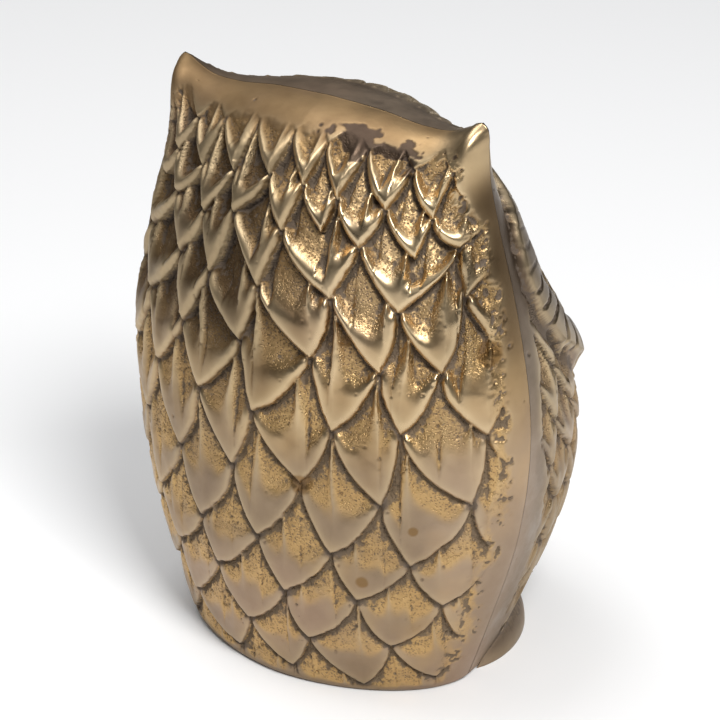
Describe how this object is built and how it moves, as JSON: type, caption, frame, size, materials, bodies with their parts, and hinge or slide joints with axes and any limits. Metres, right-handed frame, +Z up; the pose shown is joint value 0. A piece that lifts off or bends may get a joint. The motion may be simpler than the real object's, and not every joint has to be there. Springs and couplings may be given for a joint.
{
  "type": "owl figurine",
  "caption": "Small hollow cast-brass owl figurine with carved feathers, made of a rear and a front half casting brazed along a side seam, with smooth feet at the front of its open base.",
  "frame": {"origin": "on the surface that it stands on, under the middle of the figure's width and depth", "axes": "+Z up along the height, -Y the way the owl faces, +X towards the owl's left side"},
  "size_m": [0.0876, 0.0721, 0.1149],
  "materials": {
    "feathered_brass": "aged, polished on the high places, dark in the grooves and pits",
    "face_brass": "aged, polished on the high places, dark in the grooves",
    "foot_brass": "aged, ground smooth",
    "braze": "as brazed, dull"
  },
  "bodies": {
    "root": {"rear_casting": "feathered_brass", "front_casting": "face_brass", "seam_braze": "braze", "left_foot": "foot_brass", "right_foot": "foot_brass"}
  },
  "joints": []
}
